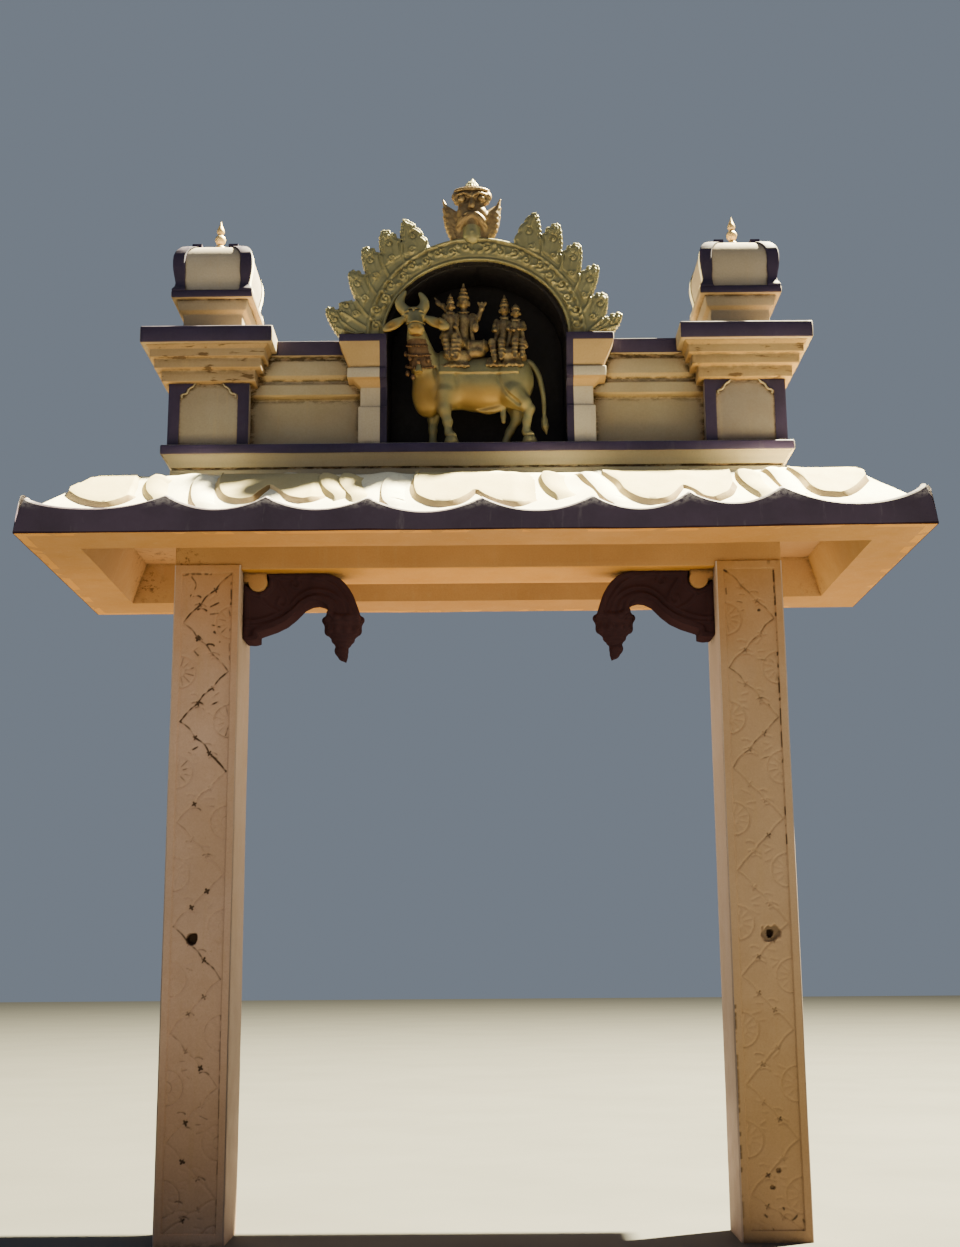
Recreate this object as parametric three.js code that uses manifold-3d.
// Masonry gateway: two piers, a beam, a scalloped eave and a parapet with two
// small domed pavilions round an arched niche that holds a bull and its riders.
// Millimetres, +Z up, front towards -Y, origin on the ground midway between the piers.

import * as THREE from 'three';
import { mergeVertices } from 'three/addons/utils/BufferGeometryUtils.js';
import Module from 'manifold-3d';

const wasm = await Module();
wasm.setup();

// Driving dimensions
const SEAT_GAP = 0.3;

const PIER_WIDTH = 400;
const PIER_DEPTH = 450;
const PIER_CENTRE = 1640;
const PIER_HEIGHT = 3880;
const PIER_BORDER = 45;
const PANEL_DEPTH = 10;
const PANEL_FOOT = 60;

const BEAM_DEPTH = 420;
const SOFFIT_HEIGHT = 4130;

const EAVE_HALF_WIDTH = 2560;
const EAVE_HALF_DEPTH = 1060;
const EAVE_BOTTOM = 3885;
const EAVE_LIP_FRONT = 370;
const EAVE_LIP_TAPER = 70;
const RIM_THICKNESS = 60;
const RIM_TROUGH = 4030;
const RIM_CURVE = 2.1;
const HOOD_CREST = 705;
const SWAG_RISE = 38;
const FOLD_RISE = 34;
const FOLD_WIDTH = 105;
const DECK_HALF_DEPTH = 400;
const DECK_TOP = 4302;
const HIP_OFFSET = EAVE_HALF_WIDTH - EAVE_HALF_DEPTH;

const PLINTH_TOP = 4494;
const BASE_TOP = 4585;
const BAND_TOP = 4650;
const BAND_HALF_WIDTH = 1942;
const BAND_HALF_DEPTH = 302;

const PAVILION_CENTRE = 1660;
const PAVILION_HALF = 250;
const PILASTER_WIDTH = 70;
const PILASTER_PROUD = 12;
const PAVILION_BODY_TOP = 5060;
const CORNICE_TOP = 5272;
const CORNICE_BAND_TOP = 5360;
const NECK_TOP = 5630;
const ROOF_BAND_TOP = 5675;
const DOME_TOP = 6015;
const FINIAL_TOP = 6267;

const WALL_HALF = 90;
const WALL_LEDGE = 5000;
const COPING_BOTTOM = 5262;
const COPING_TOP = 5345;
const COPING_HALF = 192;

const NICHE_HALF_WIDTH = 555;
const NICHE_PIER_OUTER = 735;
const NICHE_PIER_HALF_DEPTH = 240;
const CAPITAL_OUTER = 851;
const CAPITAL_SPREAD = 90;
const SPRING_HEIGHT = 5350;
const NICHE_RISE = 500;
const VAULT_THICKNESS = 90;
const VAULT_FRONT = -200;
const VAULT_BACK = 200;
const BACK_PANEL_FRONT = 100;
const BACK_PANEL_BACK = 160;
const ARCH_FRONT = -300;
const ARCH_HALF_WIDTH = 670;
const ARCH_RISE = 660;
const LEAF_REACH = 905;
const LEAF_ANGLES = [8, 17, 28.5, 40, 51.5, 63];
const MASK_TOP = 6434;
const MASK_FOOT = 5985;

const BRACKET_HALF = 100;

// Colours and finishes
function paint(color, roughness = 0.85, metalness = 0) {
  return new THREE.MeshStandardMaterial({ color, roughness, metalness });
}
const cream = paint(0xe6cf9c);
const plum = paint(0x3b2f3d);
const gold = paint(0x9a8a4c, 0.5, 0.3);
const maroon = paint(0x4a2018, 0.7);
const darkPanel = paint(0x17131a);

const gateway = new THREE.Group();
gateway.name = 'gateway';

function add(name, geometry, material, x = 0, y = 0, z = 0) {
  const mesh = new THREE.Mesh(geometry, material);
  mesh.name = name;
  mesh.position.set(x, y, z);
  gateway.add(mesh);
  return mesh;
}

// Solids and booleans
function toSolid(geometry) {
  const bare = geometry.clone();
  bare.deleteAttribute('normal');
  bare.deleteAttribute('uv');
  const merged = mergeVertices(bare, 1e-3);
  return new wasm.Manifold(new wasm.Mesh({
    numProp: 3,
    vertProperties: new Float32Array(merged.attributes.position.array),
    triVerts: new Uint32Array(merged.index.array),
  }));
}

function toGeometry(solid) {
  const mesh = solid.getMesh();
  const geometry = new THREE.BufferGeometry();
  geometry.setAttribute('position', new THREE.BufferAttribute(mesh.vertProperties, 3));
  geometry.setIndex(new THREE.BufferAttribute(mesh.triVerts, 1));
  geometry.computeVertexNormals();
  return geometry;
}

function join(...geometries) {
  return toGeometry(geometries.map(toSolid).reduce((sum, piece) => sum.add(piece)));
}

function cut(geometry, ...tools) {
  return toGeometry(tools.map(toSolid).reduce((rest, tool) => rest.subtract(tool), toSolid(geometry)));
}

function mirrorX(geometry) {
  const copy = geometry.index ? geometry.toNonIndexed() : geometry.clone();
  copy.deleteAttribute('normal');
  copy.deleteAttribute('uv');
  const position = copy.attributes.position;
  for (let i = 0; i < position.count; i += 3) {
    const corners = [0, 2, 1].map((k) => new THREE.Vector3().fromBufferAttribute(position, i + k));
    corners.forEach(({ x, y, z }, k) => position.setXYZ(i + k, -x, y, z));
  }
  const merged = mergeVertices(copy, 1e-4);
  merged.computeVertexNormals();
  return merged;
}

function box(x0, x1, y0, y1, z0, z1) {
  const geometry = new THREE.BoxGeometry(x1 - x0, y1 - y0, z1 - z0);
  return geometry.translate((x0 + x1) / 2, (y0 + y1) / 2, (z0 + z1) / 2);
}

// Rings of equal length, lowest first and each counter-clockwise seen from above,
// skinned into one closed solid.
function loft(rings) {
  const count = rings[0].length;
  const index = [];
  for (let r = 0; r + 1 < rings.length; r += 1) {
    for (let i = 0; i < count; i += 1) {
      const a = r * count + i;
      const b = r * count + ((i + 1) % count);
      index.push(a, b, b + count, a, b + count, a + count);
    }
  }
  const last = (rings.length - 1) * count;
  for (let i = 1; i + 1 < count; i += 1) {
    index.push(0, i + 1, i);
    index.push(last, last + i, last + i + 1);
  }
  const geometry = new THREE.BufferGeometry();
  geometry.setAttribute('position', new THREE.Float32BufferAttribute(rings.flat(2), 3));
  geometry.setIndex(index);
  geometry.computeVertexNormals();
  return geometry;
}

// Square-cornered mouldings: each step is [z, x0, x1, y0, y1].
function mouldedBlock(steps) {
  return loft(steps.map(([z, x0, x1, y0, y1]) => [[x0, y0, z], [x1, y0, z], [x1, y1, z], [x0, y1, z]]));
}

// The same, centred on the origin: each step is [z, halfX, halfY].
function centredBlock(steps, grow = 0) {
  return mouldedBlock(steps.map(([z, hx, hy = hx]) => [z, -hx - grow, hx + grow, -hy - grow, hy + grow]));
}

// An outline in X and Z, run from y0 to y1.
function outlineSolid(shape, y0, y1, curveSegments = 12) {
  const geometry = new THREE.ExtrudeGeometry(shape, { depth: y1 - y0, bevelEnabled: false, curveSegments });
  return geometry.rotateX(Math.PI / 2).translate(0, y1, 0);
}

function ellipsePoints(halfWidth, rise, steps, from = 0, to = Math.PI) {
  return Array.from({ length: steps + 1 }, (_, i) => {
    const angle = from + ((to - from) * i) / steps;
    return new THREE.Vector2(halfWidth * Math.cos(angle), SPRING_HEIGHT + rise * Math.sin(angle));
  });
}

// Piers, with a sunk panel in the front and back faces
function pier() {
  const halfWidth = PIER_WIDTH / 2;
  const halfDepth = PIER_DEPTH / 2;
  const post = box(-halfWidth, halfWidth, -halfDepth, halfDepth, 0, PIER_HEIGHT);
  const panelHalf = halfWidth - PIER_BORDER;
  const panelTop = PIER_HEIGHT - PIER_BORDER;
  const front = box(-panelHalf, panelHalf, -halfDepth - 5, -halfDepth + PANEL_DEPTH, PANEL_FOOT, panelTop);
  const back = box(-panelHalf, panelHalf, halfDepth - PANEL_DEPTH, halfDepth + 5, PANEL_FOOT, panelTop);
  return cut(post, front, back);
}
add('left_pier', pier(), cream, -PIER_CENTRE);
add('right_pier', pier(), cream, PIER_CENTRE);

// Beam and the slab over it
const beamHalfWidth = PIER_CENTRE + PIER_WIDTH / 2;
add('lintel_beam', box(-beamHalfWidth, beamHalfWidth, -BEAM_DEPTH / 2, BEAM_DEPTH / 2,
  PIER_HEIGHT, SOFFIT_HEIGHT), cream);
add('eave_deck', centredBlock([
  [SOFFIT_HEIGHT, HIP_OFFSET + DECK_HALF_DEPTH, DECK_HALF_DEPTH],
  [DECK_TOP, HIP_OFFSET + DECK_HALF_DEPTH, DECK_HALF_DEPTH],
]), cream);

// Hood round the deck: one section, run along each side and mitred at the hips.
// Its points are [distance out from the middle of the short side, height].
const hoodOuter = EAVE_HALF_DEPTH - RIM_THICKNESS;
const hoodInnerLip = EAVE_HALF_DEPTH - EAVE_LIP_FRONT;
const hoodTop = [
  [hoodOuter, 4020],
  [940, 4088],
  [875, 4148],
  [810, 4205],
  [765, 4243],
  [HOOD_CREST, 4280],
  [DECK_HALF_DEPTH, DECK_TOP],
];

function hoodSection(rise) {
  return [
    [hoodOuter, EAVE_BOTTOM],
    ...hoodTop.map(([d, z]) => [d, z + rise]),
    [DECK_HALF_DEPTH, SOFFIT_HEIGHT],
    [hoodInnerLip - EAVE_LIP_TAPER, SOFFIT_HEIGHT],
    [hoodInnerLip, EAVE_BOTTOM],
  ];
}

// The four sides. A spot on one is [along, out]: how far to the right of its middle,
// as it is faced, and how far out. straight is half the length of its inner edge.
const frontSide = { straight: HIP_OFFSET, place: ([along, out]) => [along, -out] };
const backSide = { straight: HIP_OFFSET, place: ([along, out]) => [-along, out] };
const rightSide = { straight: 0, place: ([along, out]) => [HIP_OFFSET + out, along] };
const leftSide = { straight: 0, place: ([along, out]) => [-HIP_OFFSET - out, -along] };

// One side of the hood, its top raised by a thickness of cloth
function hoodSide(side, rise = 0) {
  const section = hoodSection(rise);
  const corners = section.map(([d, z]) => new THREE.Vector2(d, z));
  const triangles = THREE.ShapeUtils.triangulateShape(corners, []);
  const count = section.length;
  const onMitre = (end, [d, z]) => [...side.place([end * (side.straight + d - SEAT_GAP), d]), z];
  const positions = [-1, 1].flatMap((end) => section.map((spot) => onMitre(end, spot))).flat();
  const index = [];
  triangles.forEach(([a, b, c]) => index.push(a, b, c, count + a, count + c, count + b));
  for (let i = 0; i < count; i += 1) {
    const j = (i + 1) % count;
    index.push(i, count + i, count + j, i, count + j, j);
  }
  const geometry = new THREE.BufferGeometry();
  geometry.setAttribute('position', new THREE.Float32BufferAttribute(positions, 3));
  geometry.setIndex(index);
  geometry.computeVertexNormals();
  return geometry;
}

// Hanging edges of the swags: one list of [along, out] spots for each swag
const longSwags = [
  [[-2335, 850], [-2273, 943], [-2180, 985], [-2098, 990], [-1998, 960], [-1921, 877]],
  [[-1522, 720], [-1514, 860], [-1465, 935], [-1345, 982], [-1230, 946], [-1171, 846],
    [-1097, 930], [-950, 970], [-829, 913]],
  [[-370, 720], [-386, 912], [-340, 965], [-200, 990], [-81, 972], [-17, 890],
    [48, 957], [160, 990], [284, 982], [350, 935]],
  [[675, 710], [799, 892], [880, 960], [980, 985], [1085, 965], [1183, 865],
    [1244, 926], [1340, 970], [1446, 905]],
  [[1760, 710], [1868, 885], [1927, 950], [2015, 975], [2110, 955], [2195, 890], [2262, 790]],
];
const shortSwags = [
  [[-845, 865], [-760, 945], [-640, 985], [-520, 955], [-420, 870]],
  [[-175, 720], [-185, 850], [-120, 950], [10, 985], [110, 950], [160, 890]],
  [[380, 720], [420, 820], [480, 920], [600, 975], [720, 950], [800, 830]],
];
// Gathers between the swags: the line of each raised edge, from the crest down to the rim
const longFolds = [
  [[-1600, 700], [-1640, 780], [-1648, 870], [-1615, 955], [-1530, 996]],
  [[-480, 700], [-530, 790], [-552, 890], [-525, 965], [-440, 996]],
  [[555, 700], [610, 780], [668, 880], [720, 960], [800, 996]],
  [[1630, 700], [1680, 770], [1715, 880], [1760, 970], [1840, 996]],
];
const shortFolds = [
  [[-300, 700], [-325, 820], [-300, 930], [-240, 990]],
  [[240, 700], [280, 800], [330, 920], [400, 990]],
];

// Cloth with the given outline, between the bare hood and the raised one
function cloth(side, spots, rise) {
  const outline = new THREE.Shape(spots.map((spot) => new THREE.Vector2(...side.place(spot))));
  const prism = new THREE.ExtrudeGeometry(outline, { depth: DECK_TOP - EAVE_BOTTOM, bevelEnabled: false });
  prism.translate(0, 0, EAVE_BOTTOM + rise);
  return toGeometry(toSolid(prism).intersect(toSolid(hoodSide(side, rise))));
}

function hood(side, swags, folds) {
  const pads = swags.map((edge) => {
    const [start] = edge[0];
    const [end] = edge[edge.length - 1];
    return cloth(side, [...edge, [end, HOOD_CREST], [start, HOOD_CREST]], SWAG_RISE);
  });
  const gathers = folds.map((line) => {
    const farLine = line.map(([along, out]) => [along + FOLD_WIDTH, out]).reverse();
    return cloth(side, [...line, ...farLine], FOLD_RISE);
  });
  return join(hoodSide(side), ...pads, ...gathers);
}
add('eave_hood_front', hood(frontSide, longSwags, longFolds), cream);
add('eave_hood_back', hood(backSide, longSwags, longFolds), cream);
add('eave_hood_left', hood(leftSide, shortSwags, shortFolds), cream);
add('eave_hood_right', hood(rightSide, shortSwags, shortFolds), cream);

// Scalloped rim: hanging arcs between peaks, which are [along, height]
const longPeaks = [
  [-EAVE_HALF_WIDTH, 4110], [-1720, 4108], [-1170, 4110], [-610, 4106], [-10, 4108], [640, 4110],
  [1150, 4116], [1690, 4126], [EAVE_HALF_WIDTH, 4140],
];
const sideRimHalf = hoodOuter - SEAT_GAP;
const shortPeaks = [[-sideRimHalf, 4125], [-290, 4110], [290, 4108], [sideRimHalf, 4125]];

function scallopEdge(peaks) {
  const points = [];
  const steps = 10;
  for (let k = 0; k + 1 < peaks.length; k += 1) {
    const [left, leftTop] = peaks[k];
    const [right, rightTop] = peaks[k + 1];
    for (let s = 0; s < steps; s += 1) {
      const share = (2 * s) / steps - 1;
      const rise = (share < 0 ? leftTop : rightTop) - RIM_TROUGH;
      points.push([left + ((right - left) * s) / steps, RIM_TROUGH + rise * Math.abs(share) ** RIM_CURVE]);
    }
  }
  points.push(peaks[peaks.length - 1]);
  return points;
}

function rim(peaks) {
  const [start] = peaks[0];
  const [end] = peaks[peaks.length - 1];
  const shape = new THREE.Shape();
  shape.moveTo(end, EAVE_BOTTOM);
  scallopEdge(peaks).reverse().forEach(([x, z]) => shape.lineTo(x, z));
  shape.lineTo(start, EAVE_BOTTOM);
  shape.closePath();
  return outlineSolid(shape, 0, RIM_THICKNESS);
}
const frontRim = rim(longPeaks);
const sideRim = rim(shortPeaks).rotateZ(Math.PI / 2);
add('eave_rim_front', frontRim, plum, 0, -EAVE_HALF_DEPTH);
add('eave_rim_back', mirrorX(frontRim), plum, 0, hoodOuter);
add('eave_rim_right', sideRim, plum, EAVE_HALF_WIDTH);
add('eave_rim_left', sideRim.clone(), plum, -HIP_OFFSET - hoodOuter);

// Scroll bracket: outline from the pier's face outwards, with a hanging bud
function bracketOutline() {
  const s = new THREE.Shape();
  s.moveTo(0, 3461);
  s.lineTo(92, 3466);
  s.lineTo(94, 3508);
  s.quadraticCurveTo(200, 3530, 262, 3590);
  s.quadraticCurveTo(308, 3625, 345, 3668);
  s.quadraticCurveTo(390, 3715, 440, 3712);
  s.quadraticCurveTo(490, 3700, 507, 3637);
  s.lineTo(468, 3620);
  s.quadraticCurveTo(470, 3560, 532, 3499);
  s.lineTo(567, 3457);
  s.quadraticCurveTo(566, 3400, 635, 3327);
  s.quadraticCurveTo(660, 3390, 652, 3457);
  s.lineTo(707, 3492);
  s.quadraticCurveTo(755, 3520, 750, 3575);
  s.lineTo(738, 3630);
  s.lineTo(711, 3625);
  s.quadraticCurveTo(690, 3760, 592, 3847);
  s.quadraticCurveTo(550, 3880, 503, PIER_HEIGHT);
  s.lineTo(142, PIER_HEIGHT);
  s.absarc(90, 3822, 58, 0.55, Math.PI, true);
  s.lineTo(0, 3821);
  s.closePath();
  return s;
}

function bossOutline() {
  const s = new THREE.Shape();
  s.moveTo(0, PIER_HEIGHT);
  s.lineTo(0, 3822);
  s.lineTo(32 + SEAT_GAP, 3822);
  s.absarc(90, 3822, 58 - SEAT_GAP, Math.PI, 0.55, false);
  s.lineTo(142 - SEAT_GAP, PIER_HEIGHT);
  s.closePath();
  return s;
}
const innerFace = PIER_CENTRE - PIER_WIDTH / 2;
const bracket = outlineSolid(bracketOutline(), -BRACKET_HALF, BRACKET_HALF, 8);
const boss = outlineSolid(bossOutline(), -BRACKET_HALF - 25, BRACKET_HALF + 25, 8);
add('left_bracket', bracket, maroon, -innerFace);
add('right_bracket', mirrorX(bracket), maroon, innerFace);
add('left_bracket_boss', boss, cream, -innerFace);
add('right_bracket_boss', mirrorX(boss), cream, innerFace);

// Plinth, flared base course and dark ledge of the upper part
add('parapet_base', centredBlock([
  [DECK_TOP, 1884, 258],
  [PLINTH_TOP, 1884, 258],
  [PLINTH_TOP, 1862, 238],
  [4512, 1862, 238],
  [4512, 1882, 257],
  [4545, 1894, 268],
  [BASE_TOP, 1928, 292],
]), cream);
add('parapet_band', centredBlock([
  [BASE_TOP, BAND_HALF_WIDTH, BAND_HALF_DEPTH],
  [BAND_TOP, BAND_HALF_WIDTH, BAND_HALF_DEPTH],
]), plum);

// Niche piers: shaft, neck, abacus and spreading capital
const capitalSteps = [
  [BAND_TOP, 0, 0],
  [4905, 0, 0],
  [4905, -12, -12],
  [5035, -12, -12],
  [5072, 30, 25],
  [5072, 66, 55],
  [5141, 66, 55],
  [5141, 48, 38],
  [5167, 60, 50],
  [5300, CAPITAL_OUTER - NICHE_PIER_OUTER, CAPITAL_SPREAD],
  [SPRING_HEIGHT, CAPITAL_OUTER - NICHE_PIER_OUTER, CAPITAL_SPREAD],
];

function nichePier(grow = 0) {
  return mouldedBlock(capitalSteps.map(([z, out, spread]) => [
    z, NICHE_HALF_WIDTH, NICHE_PIER_OUTER + out + grow,
    -NICHE_PIER_HALF_DEPTH - spread - grow, NICHE_PIER_HALF_DEPTH + spread + grow,
  ]));
}
add('right_niche_pier', nichePier(), cream);
add('left_niche_pier', mirrorX(nichePier()), cream);

// Pavilions
const corniceSteps = [
  [PAVILION_BODY_TOP, 290],
  [5134, 290],
  [5134, 330],
  [5198, 330],
  [5198, 355],
  [5250, 355],
  [CORNICE_TOP, 380],
];
const corniceBandSteps = [[CORNICE_TOP, 408], [CORNICE_BAND_TOP, 408]];

function pavilionBody() {
  const core = PAVILION_HALF - PILASTER_PROUD;
  const pieces = [box(-core, core, -core, core, BAND_TOP, PAVILION_BODY_TOP)];
  const inner = PAVILION_HALF - PILASTER_WIDTH;
  [[-1, -1], [-1, 1], [1, -1], [1, 1]].forEach(([sx, sy]) => {
    const xs = [sx * inner, sx * PAVILION_HALF].sort((a, b) => a - b);
    const ys = [sy * inner, sy * PAVILION_HALF].sort((a, b) => a - b);
    pieces.push(box(...xs, ...ys, BAND_TOP, PAVILION_BODY_TOP));
  });
  return join(...pieces, cusps(-PAVILION_HALF, -core + 5), cusps(core - 5, PAVILION_HALF));
}

// Pair of cusped corbels under the cornice, joined by the face behind them
function cusps(y0, y1) {
  const inner = PAVILION_HALF - PILASTER_WIDTH;
  const one = new THREE.Shape();
  one.moveTo(inner + 20, PAVILION_BODY_TOP);
  one.lineTo(inner - 95, PAVILION_BODY_TOP);
  one.quadraticCurveTo(inner - 70, 5020, inner - 45, 5030);
  one.quadraticCurveTo(inner - 35, 4985, inner + 20, 4985);
  one.closePath();
  const right = outlineSolid(one, y0, y1, 5);
  return toGeometry(toSolid(right).add(toSolid(mirrorX(right))));
}

const domeSteps = [
  [ROOF_BAND_TOP, 235],
  [5700, 238],
  [5870, 247],
  [5925, 242],
  [5965, 227],
  [5998, 200],
  [DOME_TOP, 168],
];
const neckSteps = [
  [CORNICE_BAND_TOP, 186],
  [5545, 186],
  [5562, 212],
  [NECK_TOP, 224],
];

function finial() {
  const height = FINIAL_TOP - DOME_TOP;
  const profile = [
    [0, 0], [48, 0], [48, 12], [26, 22], [40, 50], [44, 78], [36, 104], [20, 118],
    [34, 132], [38, 148], [30, 164], [16, 176], [24, 190], [22, 206], [8, 228], [0, height],
  ];
  const points = profile.map(([r, z]) => new THREE.Vector2(r, z));
  return new THREE.LatheGeometry(points, 14).rotateX(Math.PI / 2);
}

[['left', -1], ['right', 1]].forEach(([side, sign]) => {
  const x = sign * PAVILION_CENTRE;
  add(`${side}_pavilion_body`, pavilionBody(), cream, x);
  add(`${side}_pavilion_cornice`, centredBlock(corniceSteps), cream, x);
  add(`${side}_pavilion_cornice_band`, centredBlock(corniceBandSteps), plum, x);
  add(`${side}_pavilion_neck`, centredBlock(neckSteps), cream, x);
  add(`${side}_pavilion_roof_band`, centredBlock([[NECK_TOP, 257], [ROOF_BAND_TOP, 257]]), plum, x);
  add(`${side}_pavilion_dome`, centredBlock(domeSteps), cream, x);
  add(`${side}_pavilion_finial`, finial(), gold, x, 0, DOME_TOP);
});

// Low walls and copings, from the niche to the pavilions and trimmed to both
const wallSection = [
  [WALL_HALF, BAND_TOP],
  [WALL_HALF, WALL_LEDGE],
  [WALL_HALF + 60, WALL_LEDGE + 15],
  [WALL_HALF + 60, WALL_LEDGE + 85],
  [WALL_HALF + 45, WALL_LEDGE + 93],
  [WALL_HALF + 45, WALL_LEDGE + 113],
  [WALL_HALF + 75, WALL_LEDGE + 140],
  [WALL_HALF + 75, WALL_LEDGE + 235],
  [WALL_HALF + 60, WALL_LEDGE + 244],
  [WALL_HALF + 60, COPING_BOTTOM],
];

function runAlongX(section, x0, x1) {
  const shape = new THREE.Shape();
  section.forEach(([y, z], i) => (i === 0 ? shape.moveTo(y, z) : shape.lineTo(y, z)));
  [...section].reverse().forEach(([y, z]) => shape.lineTo(-y, z));
  shape.closePath();
  const solid = new THREE.ExtrudeGeometry(shape, { depth: x1 - x0, bevelEnabled: false });
  return solid.rotateX(Math.PI / 2).rotateZ(Math.PI / 2).translate(x0, 0, 0);
}
const trims = [
  nichePier(SEAT_GAP),
  centredBlock([[BAND_TOP - 5, PAVILION_HALF], [PAVILION_BODY_TOP, PAVILION_HALF]], SEAT_GAP),
  centredBlock(corniceSteps, SEAT_GAP),
  centredBlock(corniceBandSteps, SEAT_GAP),
];
trims.slice(1).forEach((trim) => trim.translate(PAVILION_CENTRE, 0, 0));
const rightWall = cut(runAlongX(wallSection, NICHE_PIER_OUTER - 20, PAVILION_CENTRE), ...trims);
const rightCoping = cut(
  runAlongX([[COPING_HALF, COPING_BOTTOM], [COPING_HALF, COPING_TOP]], NICHE_PIER_OUTER, PAVILION_CENTRE),
  ...trims,
);
add('right_parapet_wall', rightWall, cream);
add('left_parapet_wall', mirrorX(rightWall), cream);
add('right_coping', rightCoping, plum);
add('left_coping', mirrorX(rightCoping), plum);

// Niche shell: vault on the piers, and the panel that closes it behind
function archRing(outerHalf, outerRise, innerHalf, innerRise, y0, y1) {
  const shape = new THREE.Shape([
    ...ellipsePoints(outerHalf, outerRise, 28),
    ...ellipsePoints(innerHalf, innerRise, 28).reverse(),
  ]);
  return outlineSolid(shape, y0, y1);
}
add('niche_vault', archRing(NICHE_HALF_WIDTH + VAULT_THICKNESS, NICHE_RISE + VAULT_THICKNESS,
  NICHE_HALF_WIDTH, NICHE_RISE, VAULT_FRONT, VAULT_BACK), cream);

const panelHalf = NICHE_HALF_WIDTH - SEAT_GAP;
const panelShape = new THREE.Shape([
  new THREE.Vector2(-panelHalf, BAND_TOP),
  new THREE.Vector2(panelHalf, BAND_TOP),
  ...ellipsePoints(panelHalf, NICHE_RISE - SEAT_GAP * 2, 28),
]);
add('niche_back_panel', outlineSolid(panelShape, BACK_PANEL_FRONT, BACK_PANEL_BACK), darkPanel);

// Ornamental arch with upright leaves along its back
function leafRim() {
  const halfRim = [];
  const onBand = (angle) => [ARCH_HALF_WIDTH * Math.cos(angle), SPRING_HEIGHT + ARCH_RISE * Math.sin(angle)];
  const atReach = (angle, reach) => [reach * Math.cos(angle), SPRING_HEIGHT + reach * Math.sin(angle)];
  halfRim.push([865, SPRING_HEIGHT]);
  LEAF_ANGLES.forEach((degrees, i) => {
    const angle = THREE.MathUtils.degToRad(degrees);
    const next = i + 1 < LEAF_ANGLES.length ? LEAF_ANGLES[i + 1] : degrees + 10;
    const notch = THREE.MathUtils.degToRad((degrees + next) / 2 + 1);
    halfRim.push(atReach(angle - 0.045, LEAF_REACH - 50));
    halfRim.push(atReach(angle, LEAF_REACH));
    halfRim.push(atReach(angle + 0.04, LEAF_REACH - 70));
    halfRim.push(atReach(notch, ARCH_RISE + 95));
  });
  halfRim.push(onBand(THREE.MathUtils.degToRad(73)));
  halfRim.push(onBand(THREE.MathUtils.degToRad(80)));
  const mirrored = halfRim.map(([x, z]) => [-x, z]).reverse();
  return [...halfRim, [0, SPRING_HEIGHT + ARCH_RISE], ...mirrored];
}

function flameArch(lift = 0) {
  const outer = leafRim().map(([x, z]) => new THREE.Vector2(x, z));
  const inner = ellipsePoints(NICHE_HALF_WIDTH + 5, NICHE_RISE, 28).reverse();
  const geometry = outlineSolid(new THREE.Shape([...outer, ...inner]), ARCH_FRONT, VAULT_FRONT);
  return geometry.translate(0, 0, lift);
}
add('flame_arch', flameArch(), gold);

// Guardian mask with crown and side plumes, on the crown of the arch
function maskOutline() {
  const s = new THREE.Shape();
  s.moveTo(-130, MASK_FOOT);
  s.lineTo(130, MASK_FOOT);
  s.lineTo(150, 6100);
  s.lineTo(188, 6170);
  s.lineTo(185, 6250);
  s.lineTo(120, 6190);
  s.lineTo(110, 6290);
  s.quadraticCurveTo(100, 6350, 60, 6360);
  s.lineTo(40, 6405);
  s.lineTo(0, MASK_TOP);
  s.lineTo(-40, 6405);
  s.lineTo(-60, 6360);
  s.quadraticCurveTo(-100, 6350, -110, 6290);
  s.lineTo(-120, 6190);
  s.lineTo(-185, 6250);
  s.lineTo(-188, 6170);
  s.lineTo(-150, 6100);
  s.closePath();
  return s;
}
const mask = outlineSolid(maskOutline(), ARCH_FRONT, VAULT_FRONT, 4);
add('guardian_mask', cut(mask, flameArch(SEAT_GAP)), gold);

// Figures: rounded masses joined into one body each. A figure drawn with some
// swell is the tool that trims its neighbour and leaves the seat gap.
function masses(swell) {
  return {
    ball(x, y, z, rx, ry = rx, rz = rx) {
      const sphere = new THREE.SphereGeometry(1, 12, 8).rotateX(Math.PI / 2);
      return sphere.scale(rx + swell, ry + swell, rz + swell).translate(x, y, z);
    },
    limb(from, to, r0, r1, sides = 8) {
      const start = new THREE.Vector3(...from);
      const way = new THREE.Vector3(...to).sub(start);
      const turn = new THREE.Quaternion();
      turn.setFromUnitVectors(new THREE.Vector3(0, 1, 0), way.clone().normalize());
      const geometry = new THREE.CylinderGeometry(r1 + swell, r0 + swell, way.length() + 2 * swell, sides);
      return geometry.translate(0, way.length() / 2, 0).applyQuaternion(turn).translate(...from);
    },
  };
}

const BULL_Y = -150;
const HEAD_Y = -330;
const SADDLE = 5185;
const KNEE_Y = BULL_Y - 122;
const FOOT_Y = BULL_Y - 155;
const SWELL = 0.5;

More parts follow.
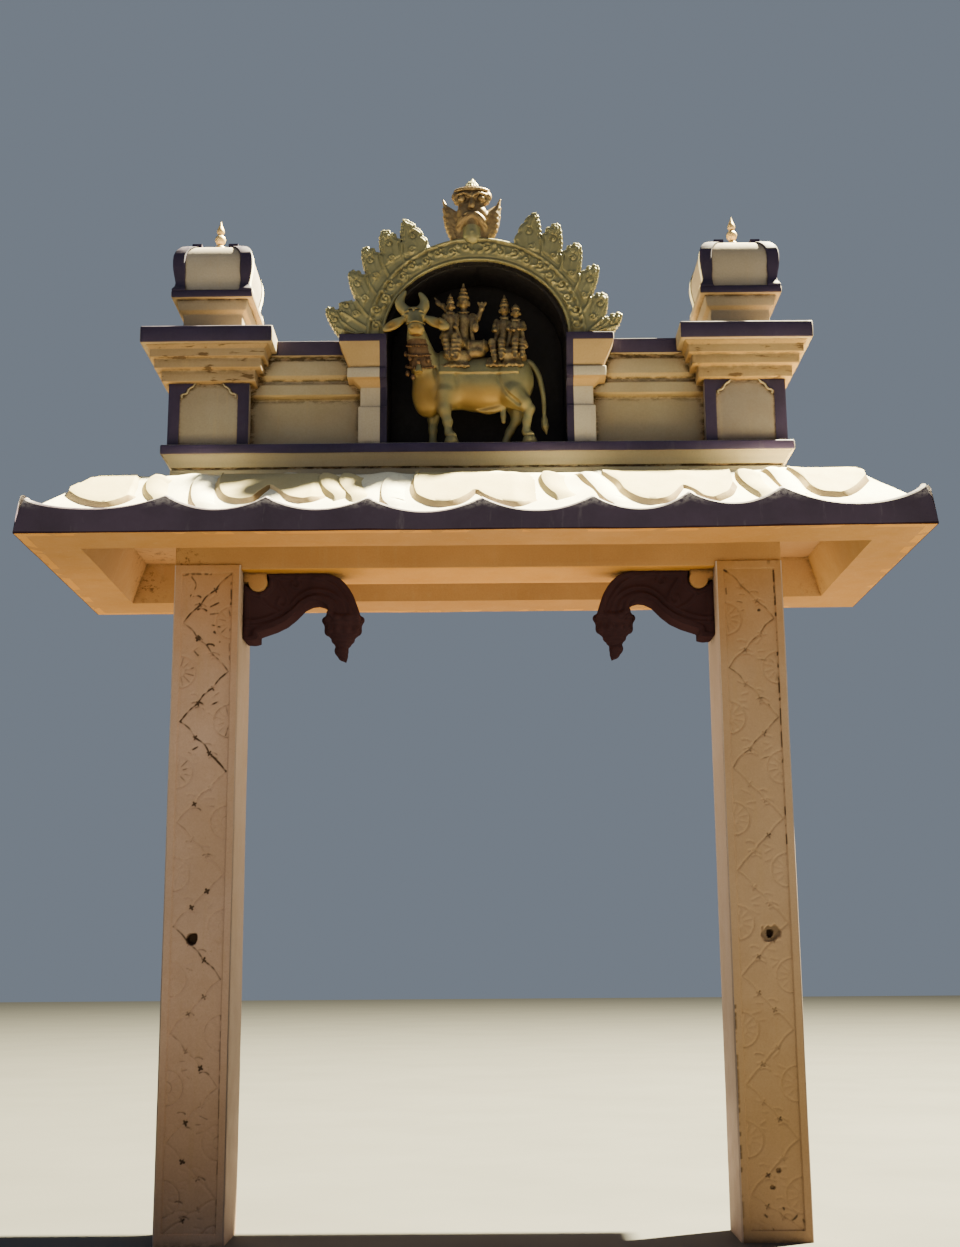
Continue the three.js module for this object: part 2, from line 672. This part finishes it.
function bull(swell = 0) {
  const { ball, limb } = masses(swell);
  const legs = [[-205, BULL_Y - 45], [-262, BULL_Y + 55], [300, BULL_Y - 45], [205, BULL_Y + 55]];
  const pieces = [
    ball(20, BULL_Y, 5045, 350, 125, 150),
    ball(-235, BULL_Y, 5080, 165, 120, 185),
    ball(285, BULL_Y, 5070, 125, 118, 150),
    limb([-250, BULL_Y, 5090], [-375, HEAD_Y + 70, 5330], 130, 85, 10),
    ball(-383, HEAD_Y + 10, 5370, 82, 80, 110),
    limb([-383, HEAD_Y, 5360], [-384, HEAD_Y - 40, 5195], 72, 48, 10),
    ball(-384, HEAD_Y - 42, 5190, 52, 46, 42),
    limb([-412, HEAD_Y, 5440], [-459, HEAD_Y - 10, 5620], 26, 6),
    limb([-356, HEAD_Y, 5440], [-343, HEAD_Y - 10, 5610], 26, 6),
    ball(-510, HEAD_Y - 8, 5380, 66, 16, 30),
    ball(-256, HEAD_Y - 8, 5380, 66, 16, 30),
    limb([380, BULL_Y, 5165], [445, BULL_Y, 5000], 24, 18),
    limb([445, BULL_Y, 5010], [440, BULL_Y, 4745], 18, 22),
  ];
  legs.forEach(([x, y]) => {
    pieces.push(limb([x, y, 5010], [x, y, 4760], 62, 34));
    pieces.push(limb([x, y, 4770], [x, y, BAND_TOP], 34, 42));
  });
  return join(...pieces);
}

function seatedFigure(x, y, height, spread, swell) {
  const { ball, limb } = masses(swell);
  const at = (share) => SADDLE + share * height;
  return [
    ball(x, y, SADDLE + 50, 72, 66, 60),
    limb([x, y, SADDLE + 40], [x, y, at(0.58)], 52, 62, 10),
    limb([x, y, at(0.55)], [x, y, at(0.7)], 26, 26),
    ball(x, y - 6, at(0.72), 44, 42, 52),
    limb([x, y, at(0.78)], [x, y, at(1)], 38, 12),
    ...[-1, 1].flatMap((side) => [
      limb([x + side * 40, y, at(0.55)], [x + side * spread, y - 30, at(0.3)], 22, 18),
      limb([x + side * 25, y - 20, SADDLE + 45], [x + side * 50, KNEE_Y, SADDLE + 12], 40, 32),
      limb([x + side * 50, KNEE_Y, SADDLE + 20], [x + side * 42, FOOT_Y, SADDLE - 150], 30, 22),
    ]),
  ];
}

function frontRider(swell = 0) {
  const { limb } = masses(swell);
  return join(
    ...seatedFigure(-100, BULL_Y, 556, 105, swell),
    ...[-1, 1].map((side) => limb(
      [-100 + side * 40, BULL_Y, SADDLE + 320], [-105 + side * 108, BULL_Y - 10, SADDLE + 430], 18, 14,
    )),
  );
}

function rearRiders() {
  return join(
    ...seatedFigure(150, BULL_Y + 10, 523, 62, 0),
    ...seatedFigure(240, BULL_Y - 30, 440, 50, 0),
  );
}
add('bull', bull(), gold);
add('front_rider', cut(frontRider(), bull(SWELL)), gold);
add('rear_riders', cut(rearRiders(), bull(SWELL), frontRider(SWELL)), gold);

export default gateway;
